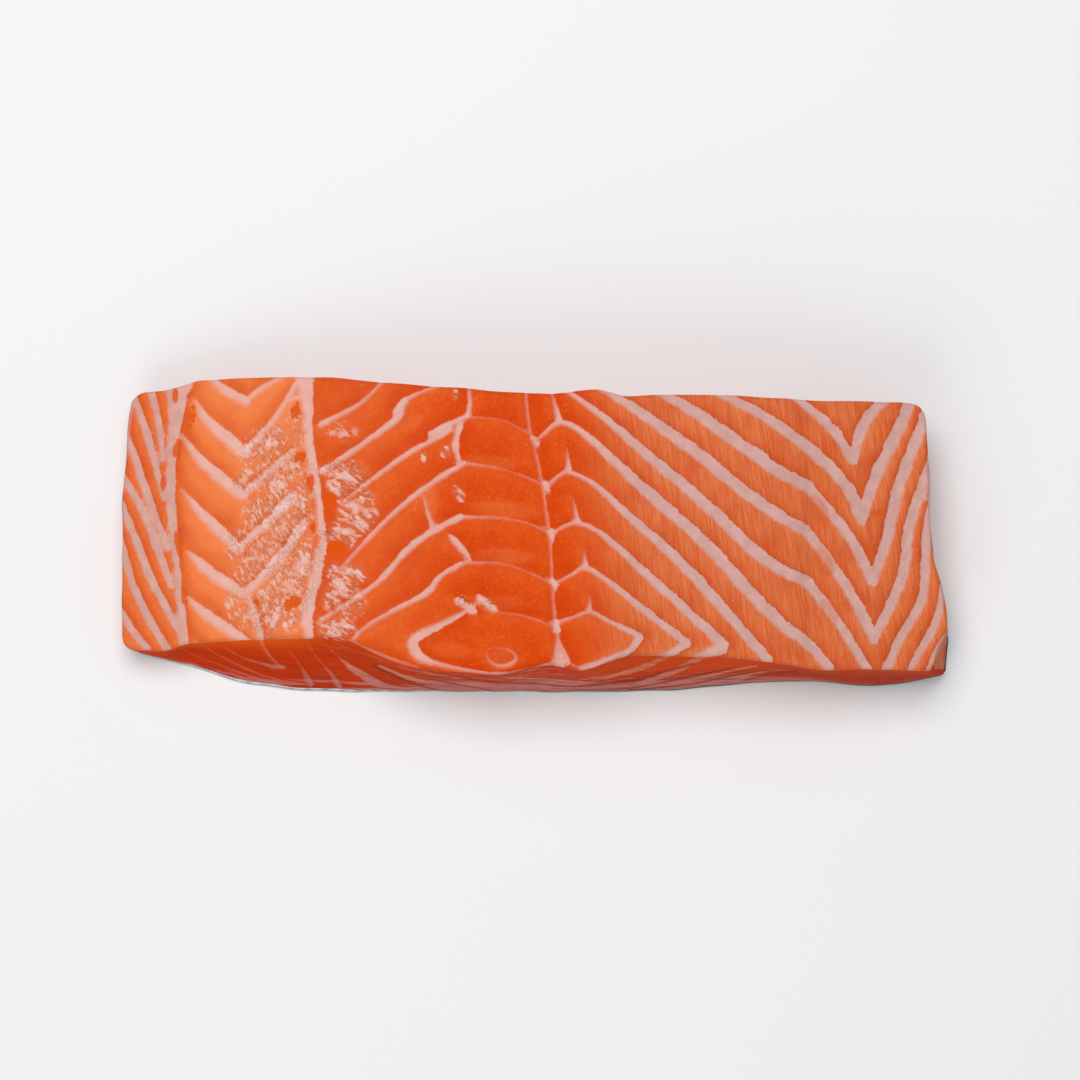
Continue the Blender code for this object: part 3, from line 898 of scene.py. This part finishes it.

# The torn flesh's finish: pale flecks and clumps with brown rims, drawn out along the muscle's grain, over a
# milky haze; the whitest flecks also stand in for wet glints as painted highlights. Beside each fat line the
# flecks and haze are left out, a gap of clear orange muscle painted as the shade along the line.
belly_flecks = finish.noise(0.8, 4.0, stretch=(1.0, 2.2, 1.0), turn=math.radians(-32))
loin_flecks = finish.noise(0.9, 4.0, stretch=(1.0, 3.0, 1.0), turn=math.radians(-62))
beside_rib = finish.ease(belly, 0.45, 0.65)
flecks = finish.add("ShaderNodeMix", {0: beside_rib, 2: loin_flecks, 3: belly_flecks}).outputs[0]
clumps = finish.math("MULTIPLY_ADD", finish.noise(2.6, 2.0), 0.45, -0.225)
fleck_level = finish.math("ADD", clumps, finish.math("SUBTRACT", flecks, 0.60))
fleck_level = finish.math("MULTIPLY_ADD", torn_share, 0.09, fleck_level)
fleck_level = finish.math("MULTIPLY_ADD", clump_share, 0.20, fleck_level)
fleck_mask = finish.ease(fleck_level, -0.06, 0.06)
fleck_mask = finish.math("MULTIPLY", fleck_mask, finish.ease(torn_share, 0.05, 0.45))
fleck_mask = finish.math("MULTIPLY", fleck_mask, finish.math("MULTIPLY_ADD", pocket_and_shade_share, -0.76, 0.76))
# Painted shade: beside each fat line the flecks and haze are left out, leaving a darker gap of clear orange
# muscle.
shade_beside_line = finish.math("SUBTRACT", finish.ease(inner, -1.50, -0.50), fat)
shade_beside_line = finish.math("MAXIMUM", shade_beside_line, 0.0)
fleck_mask = finish.math("MULTIPLY", fleck_mask, finish.math("MULTIPLY_ADD", shade_beside_line, -0.70, 1.0))
# The whitest flecks are partly painted highlights standing in for wet glints.
bright_fleck_and_glint = finish.ease(fleck_level, 0.04, 0.20)
fleck_edge = finish.math("ABSOLUTE", finish.math("ADD", fleck_level, 0.06))
fleck_edge = finish.ease(fleck_edge, 0.0, 0.030, 0.75, 0.0)
belly_tears = finish.noise(0.45, 2.0, stretch=(1.0, 2.6, 1.0), turn=math.radians(-36))
loin_tears = finish.noise(0.50, 2.0, stretch=(1.0, 3.2, 1.0), turn=math.radians(-60))
tears = finish.add("ShaderNodeMix", {0: beside_rib, 2: loin_tears, 3: belly_tears}).outputs[0]
tears = finish.ease(finish.math("ABSOLUTE", finish.math("SUBTRACT", tears, 0.5)), 0.0, 0.035, 0.65, 0.0)
fleck_edge = finish.math("MAXIMUM", fleck_edge, tears)
fleck_edge = finish.math("MULTIPLY", fleck_edge, finish.ease(torn_share, 0.2, 0.8))
fleck_edge = finish.math("MULTIPLY", fleck_edge, finish.math("SUBTRACT", 1.0, pocket_and_shade_share))
haze = finish.math("MULTIPLY", torn_share, finish.math("MULTIPLY_ADD", belly, 0.30, 0.24))
haze = finish.math("MULTIPLY", haze, finish.math("MULTIPLY_ADD", shade_beside_line, -0.80, 1.0))

# The muscle: its colour goes from belly to loin to back and to the stripes. It is lighter below each fat
# line and deeper above it, that darkening being painted shade under the fat's edge, and it has fibres,
# mottling and fine pale specks.
fibres = finish.noise(0.25, 2.0, stretch=(1.0, 30.0, 30.0), turn=math.radians(-8))
fibre_tone = finish.ease(fibres, 0.36, 0.62)
patches = finish.noise(7.0, 3.0)
muscle = finish.blend(belly, LOIN_COLOUR, BELLY_COLOUR)
muscle = finish.blend(stripes, muscle, STRIPE_COLOUR)
muscle = finish.blend(back, muscle, BACK_COLOUR)
# On the cut faces the muscle takes the deeper reds, which hold painted shade.
muscle = finish.blend(cut, muscle, finish.blend(back, SHADED_CUT_COLOUR, SHADED_BACK_CUT_COLOUR))
lighter = finish.blend(0.45, muscle, finish.blend(loin, LIGHT_MUSCLE, LIGHT_LOIN_COLOUR))
deeper = finish.blend(0.60, muscle, DEEP_MUSCLE)
shade_above_line = finish.math("MAXIMUM", finish.math("MULTIPLY", line_shade_share, -1.0), 0.0)
below_line = finish.math("MAXIMUM", line_shade_share, 0.0)
on_flesh_side = finish.math("SUBTRACT", 1.0, cut)
fibre_share = finish.math("MULTIPLY", fibre_tone, finish.math("MULTIPLY_ADD", back, 0.72, 0.03))
fibre_share = finish.math("MULTIPLY_ADD", below_line, 0.45, fibre_share)
mottle = finish.ease(finish.noise(1.1, 4.0), 0.44, 0.66, 0.0, 0.30)
fibre_share = finish.math("MULTIPLY_ADD", mottle, finish.math("SUBTRACT", 1.0, back), fibre_share)
muscle = finish.blend(finish.math("MULTIPLY", fibre_share, on_flesh_side), muscle, lighter)
deep_share = finish.math("MULTIPLY_ADD", shade_above_line, 0.60, finish.ease(patches, 0.42, 0.72, 0.0, 0.35))
between_fibres = finish.math("MULTIPLY", finish.math("SUBTRACT", 1.0, fibre_tone), back)
deep_share = finish.math("MULTIPLY_ADD", between_fibres, 0.22, deep_share)
muscle = finish.blend(deep_share, muscle, deeper)
specks = finish.ease(finish.noise(0.45, 1.0), 0.69, 0.77, 0.0, 0.60)
muscle = finish.blend(finish.math("MULTIPLY", specks, on_flesh_side), muscle, LIGHT_MUSCLE)
muscle = finish.blend(haze, muscle, HAZE_COLOUR)
# Pockets of clear muscle; in the back the same patches are painted shade beside the crease.
pocket_and_shade_colour = finish.blend(belly, POCKET_COLOUR, BELLY_POCKET_COLOUR)
pocket_and_shade_colour = finish.blend(back, pocket_and_shade_colour, CREASE_SHADE_COLOUR)
muscle = finish.blend(finish.math("MULTIPLY", pocket_and_shade_share, on_flesh_side), muscle, pocket_and_shade_colour)

# The flesh side: fat over muscle, a thin painted shadow line along the upper edge of the back's fat, and the
# torn flesh's flecks on top.
fat_colour = finish.blend(finish.math("MULTIPLY_ADD", loin, 0.65, belly), FAT_BACK_COLOUR, FAT_BELLY_COLOUR)
fat_colour = finish.blend(stripes, fat_colour, FAT_STRIPE_COLOUR)
pale_share = finish.ease(finish.noise(3.0, 3.0), 0.35, 0.70, 0.0, 0.28)
pale_share = finish.math("MULTIPLY_ADD", torn_share, 0.50, pale_share)
fat_colour = finish.blend(pale_share, fat_colour, PALE_FAT_COLOUR)
cut_fat = finish.blend(finish.ease(depth, 0.20, 0.65), SKIN_FAT_COLOUR, CUT_FAT_COLOUR)
fat_colour = finish.blend(cut, fat_colour, cut_fat)
surface = finish.blend(fat, muscle, fat_colour)
# Painted shadow: a thin dark line just above the back's fat. Its brown also rims the torn flesh's flecks.
shadow_line = finish.ease(finish.math("ABSOLUTE", finish.math("ADD", inner, 0.22)), 0.0, 0.20, 0.40, 0.0)
shadow_line = finish.math("MULTIPLY", shadow_line, finish.math("SUBTRACT", on_flesh_side, below))
shadow_line = finish.math("MULTIPLY", shadow_line, back)
surface = finish.blend(finish.math("MAXIMUM", shadow_line, 0.0), surface, TORN_EDGE_AND_SHADOW_COLOUR)
surface = finish.blend(fleck_mask, surface, finish.blend(bright_fleck_and_glint, FLECK_COLOUR, WHITE_FLECK_AND_GLINT_COLOUR))
surface = finish.blend(fleck_edge, surface, TORN_EDGE_AND_SHADOW_COLOUR)
# The cut faces: thin layers drawn out along the face, with pale threads and dark seams, over the greyish
# band of fat above the skin. Their muscle is darkened by painted shade, the grooves are painted darker still
# as shade, and just below the rim painted light brightens the muscle again.
layers = finish.noise(0.8, 2.0, stretch=(20.0, 3.0, 1.6))
band_depth = finish.math("SUBTRACT", finish.math("MULTIPLY_ADD", layers, 0.9, depth), band_reach)
band = finish.math("MULTIPLY", finish.ease(band_depth, 0.36, 0.54, 0.85, 0.0), cut)
streaks = finish.math("MULTIPLY", finish.ease(layers, 0.42, 0.62, 0.0, 0.45), cut)
surface = finish.blend(streaks, surface, finish.blend(0.55, surface, SEAM_AND_GROOVE_SHADE_COLOUR))
surface = finish.blend(band, surface, SKIN_FAT_COLOUR)
behind_belly = finish.math("MULTIPLY", cut, finish.math("SUBTRACT", 1.0, belly))
behind_belly = finish.math("MULTIPLY", behind_belly, finish.ease(band_reach, 0.14, 0.36, 0.20, 1.0))
threads = finish.noise(0.7, 1.0, stretch=(30.0, 3.0, 1.3))
threads = finish.ease(finish.math("ABSOLUTE", finish.math("SUBTRACT", threads, 0.46)), 0.0, 0.040, 0.70, 0.0)
surface = finish.blend(finish.math("MULTIPLY", threads, behind_belly), surface, THREAD_COLOUR)
seams = finish.noise(0.8, 1.0, stretch=(26.0, 3.0, 1.3))
seams = finish.ease(finish.math("ABSOLUTE", finish.math("SUBTRACT", seams, 0.5)), 0.0, 0.045, 0.80, 0.0)
surface = finish.blend(finish.math("MULTIPLY", seams, behind_belly), surface, SEAM_AND_GROOVE_SHADE_COLOUR)
# Painted light: the cut faces are brightened just below the rim.
rim_light = finish.add("ShaderNodeAttribute", attribute_name="rim_light").outputs["Fac"]
beside_fat = finish.math("MULTIPLY_ADD", fat, -0.8, 1.0)
rim_light = finish.math("MULTIPLY", rim_light, finish.math("MULTIPLY", cut, beside_fat))
surface = finish.blend(rim_light, surface, finish.blend(belly, LOIN_COLOUR, RIM_LIGHT_COLOUR))
# Painted shade: the grooves in the cut faces are painted dark. The same dark colour also draws the real dark
# seams.
groove_shade = finish.math("MULTIPLY", finish.ease(groove, 0.1, 1.1, 0.80, 0.0), cut)
surface = finish.blend(groove_shade, surface, SEAM_AND_GROOVE_SHADE_COLOUR)

# The surface: moist, with a fine relief of fibres and flecks, a little light scattered below it, and cut
# faces that are duller than the flesh side.
relief = finish.math("MULTIPLY_ADD", fibre_tone, 0.35, finish.math("MULTIPLY", flecks, torn_share))
relief = finish.math("MULTIPLY_ADD", finish.noise(0.4, 2.0), 0.25, relief)
bump = finish.add("ShaderNodeBump", {"Strength": 0.35, "Distance": FLESH_BUMP, "Height": relief})
roughness = finish.math("MULTIPLY_ADD", cut, 0.25, finish.math("MULTIPLY_ADD", torn_share, -0.12, 0.42))
links = finish.tree.links
links.new(surface, finish.shader.inputs["Base Color"])
links.new(roughness, finish.shader.inputs["Roughness"])
links.new(bump.outputs[0], finish.shader.inputs["Normal"])
finish.shader.inputs["Subsurface Weight"].default_value = SCATTER_SHARE
finish.shader.inputs["Subsurface Radius"].default_value = SCATTER_RADIUS
finish.shader.inputs["Subsurface Scale"].default_value = SCATTER_DEPTH
finish.shader.inputs["Specular IOR Level"].default_value = FLESH_GLOSS
flesh_mesh.materials.append(finish.material)
flesh_mesh.shade_smooth()
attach(flesh, "root")
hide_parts("salmon_fillet")


# The skin: a thin, scaly sheet grown to the underside, silvery at the belly and blue-grey with a few dark
# spots at the back. Its cut edge shows as a thin line along the foot of the near face.
SKIN_CELLS = (160, 60, 2)
SKIN_THICKNESS = 0.0007
SKIN_OVERHANG = 0.0001
SCALE_SIZE = 3.0
SCALE_TURN = math.radians(45)
SILVER_COLOUR = (0.520, 0.540, 0.550)
SLATE_COLOUR = (0.055, 0.075, 0.085)
SCALE_RIM_COLOUR = (0.160, 0.180, 0.190)
SPOT_COLOUR = (0.010, 0.012, 0.014)
SPOT_GAP = 11.0
SCALE_UNEVENNESS = 0.14
SCALE_BUMP = 0.0002
SKIN_ROUGHNESS = 0.28
SKIN_METALLIC = 0.35

bm = divided_block(SKIN_CELLS, open_below=False)
bmesh.ops.recalc_face_normals(bm, faces=bm.faces)
skin_mesh = bpy.data.meshes.new("salmon_skin")
bm.to_mesh(skin_mesh)
bm.free()
skin = bpy.data.objects.new("salmon_skin", skin_mesh)
bpy.context.scene.collection.objects.link(skin)
block = mesh_places(skin_mesh)
sheet, _ = flesh_form(block[:, 0], block[:, 1], np.zeros(len(block)))
sheet[:, 0] += SKIN_OVERHANG * block[:, 0]
sheet[:, 1] += SKIN_OVERHANG * block[:, 1]
sheet[:, 2] += SKIN_THICKNESS * (0.5 + 0.5 * block[:, 2])
move_to(skin_mesh, sheet)
give_attribute(skin_mesh, "from_belly", smooth((block[:, 0] + 0.7) / 1.5))

finish = Finish("salmon_skin")
share = finish.add("ShaderNodeAttribute", attribute_name="from_belly").outputs["Fac"]
scale_places = finish.places((MM / SCALE_SIZE, MM / SCALE_SIZE, 0.0), SCALE_TURN)
scale_inputs = {"Vector": scale_places, "Scale": 1.0, "Randomness": SCALE_UNEVENNESS}
scales = finish.add("ShaderNodeTexVoronoi", scale_inputs)
rims_of_scales = finish.ease(scales.outputs["Distance"], 0.35, 0.62)
skin_colour = finish.blend(share, SILVER_COLOUR, SLATE_COLOUR)
skin_colour = finish.blend(finish.math("MULTIPLY", rims_of_scales, 0.45), skin_colour, SCALE_RIM_COLOUR)
spot_places = finish.places((MM / SPOT_GAP, MM / SPOT_GAP, 0.0))
spots = finish.add("ShaderNodeTexVoronoi", {"Vector": spot_places, "Scale": 1.0}).outputs["Distance"]
spot_mask = finish.math("MULTIPLY", finish.ease(spots, 0.10, 0.16, 1.0, 0.0), finish.ease(share, 0.5, 0.9))
skin_colour = finish.blend(spot_mask, skin_colour, SPOT_COLOUR)
domes = {"Strength": 0.6, "Distance": SCALE_BUMP, "Height": scales.outputs["Distance"]}
bump = finish.add("ShaderNodeBump", domes)
links = finish.tree.links
links.new(skin_colour, finish.shader.inputs["Base Color"])
links.new(bump.outputs[0], finish.shader.inputs["Normal"])
finish.shader.inputs["Roughness"].default_value = SKIN_ROUGHNESS
finish.shader.inputs["Metallic"].default_value = SKIN_METALLIC
skin_mesh.materials.append(finish.material)
skin_mesh.shade_smooth()
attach(skin, "root")
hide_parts("salmon_fillet")


# The stage: a pale floor under the fillet, one wide soft lamp almost overhead, a weak one from the near side
# and an even grey sky.
FLOOR_SIZE = 3.0
FLOOR_COLOUR = (0.86, 0.86, 0.87, 1.0)
FLOOR_ROUGHNESS = 0.7
SKY_STRENGTH = 0.34
LAMPS = (
    ("key", (-0.10, 0.35, 1.05), 0.80, 8.2),
    ("fill", (-0.35, -0.95, 0.75), 0.90, 4.0),
)

bm = bmesh.new()
bmesh.ops.create_grid(bm, x_segments=1, y_segments=1, size=0.5 * FLOOR_SIZE)
floor_mesh = bpy.data.meshes.new("floor")
bm.to_mesh(floor_mesh)
bm.free()
floor = bpy.data.objects.new("floor", floor_mesh)
bpy.context.scene.collection.objects.link(floor)
floor_finish = Finish("floor")
floor_finish.shader.inputs["Base Color"].default_value = FLOOR_COLOUR
floor_finish.shader.inputs["Roughness"].default_value = FLOOR_ROUGHNESS
floor_mesh.materials.append(floor_finish.material)

for name, place, size, power in LAMPS:
    lamp = bpy.data.objects.new(name, bpy.data.lights.new(name, "AREA"))
    lamp.data.shape = "DISK"
    lamp.data.size = size
    lamp.data.energy = power
    lamp.location = place
    lamp.rotation_euler = (VIEW_AIM - Vector(place)).to_track_quat("-Z", "Y").to_euler()
    bpy.context.scene.collection.objects.link(lamp)

world = bpy.data.worlds.new("sky")
world.use_nodes = True
world.node_tree.nodes["Background"].inputs["Color"].default_value = (1.0, 1.0, 1.0, 1.0)
world.node_tree.nodes["Background"].inputs["Strength"].default_value = SKY_STRENGTH
bpy.context.scene.world = world
bpy.context.scene.view_settings.view_transform = "Standard"
